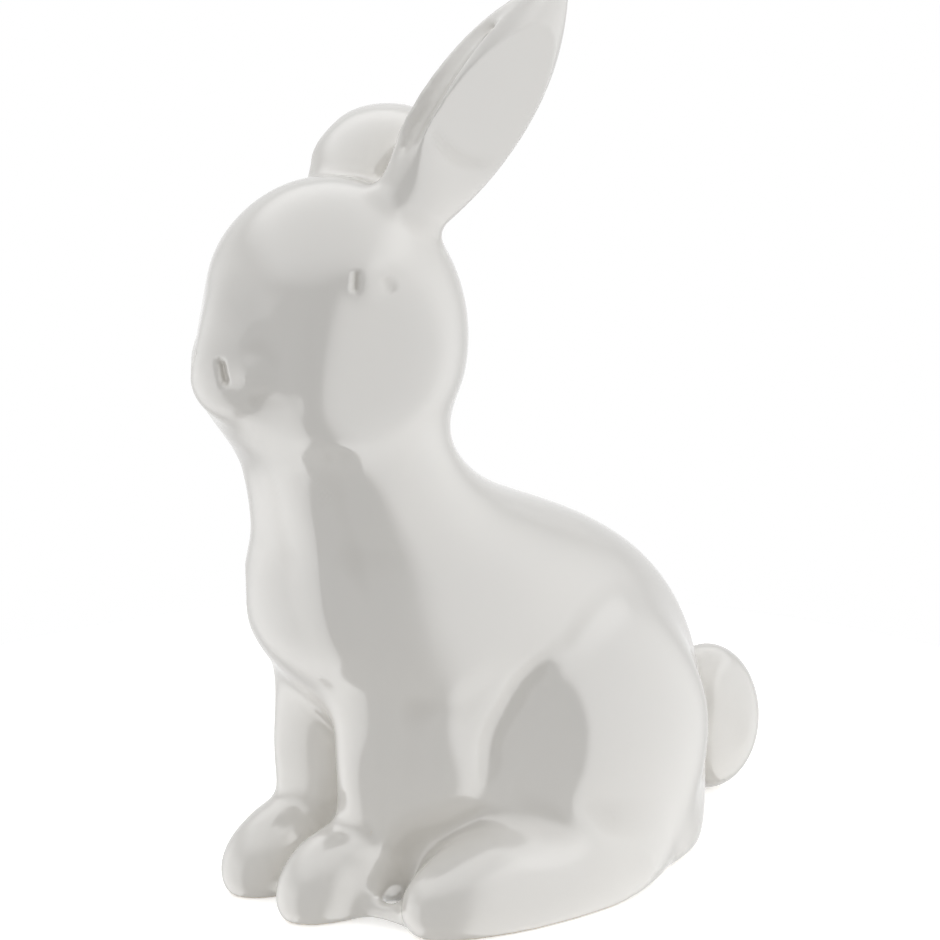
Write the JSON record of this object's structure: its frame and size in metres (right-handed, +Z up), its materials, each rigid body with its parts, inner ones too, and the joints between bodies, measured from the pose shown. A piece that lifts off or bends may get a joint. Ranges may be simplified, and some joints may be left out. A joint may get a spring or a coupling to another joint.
{
  "type": "ceramic rabbit figurine",
  "caption": "White glazed ceramic rabbit sitting upright, one ear pricked and one swept aside, with a flat base; a free-standing shelf ornament.",
  "frame": {"origin": "mouth of the kiln vent in the flat floor that the figure stands on", "axes": "+Z up; the rabbit faces -Y and its left side is +X"},
  "size_m": [0.0786, 0.1258, 0.1641],
  "materials": {
    "white_glaze": "satin white glaze over a white ceramic body"
  },
  "bodies": {
    "root": {"torso_shell": "white_glaze", "head_shell": "white_glaze", "left_ear": "white_glaze", "right_ear": "white_glaze", "left_foreleg": "white_glaze", "right_foreleg": "white_glaze", "left_hind_foot": "white_glaze", "right_hind_foot": "white_glaze", "tail": "white_glaze"}
  },
  "joints": []
}
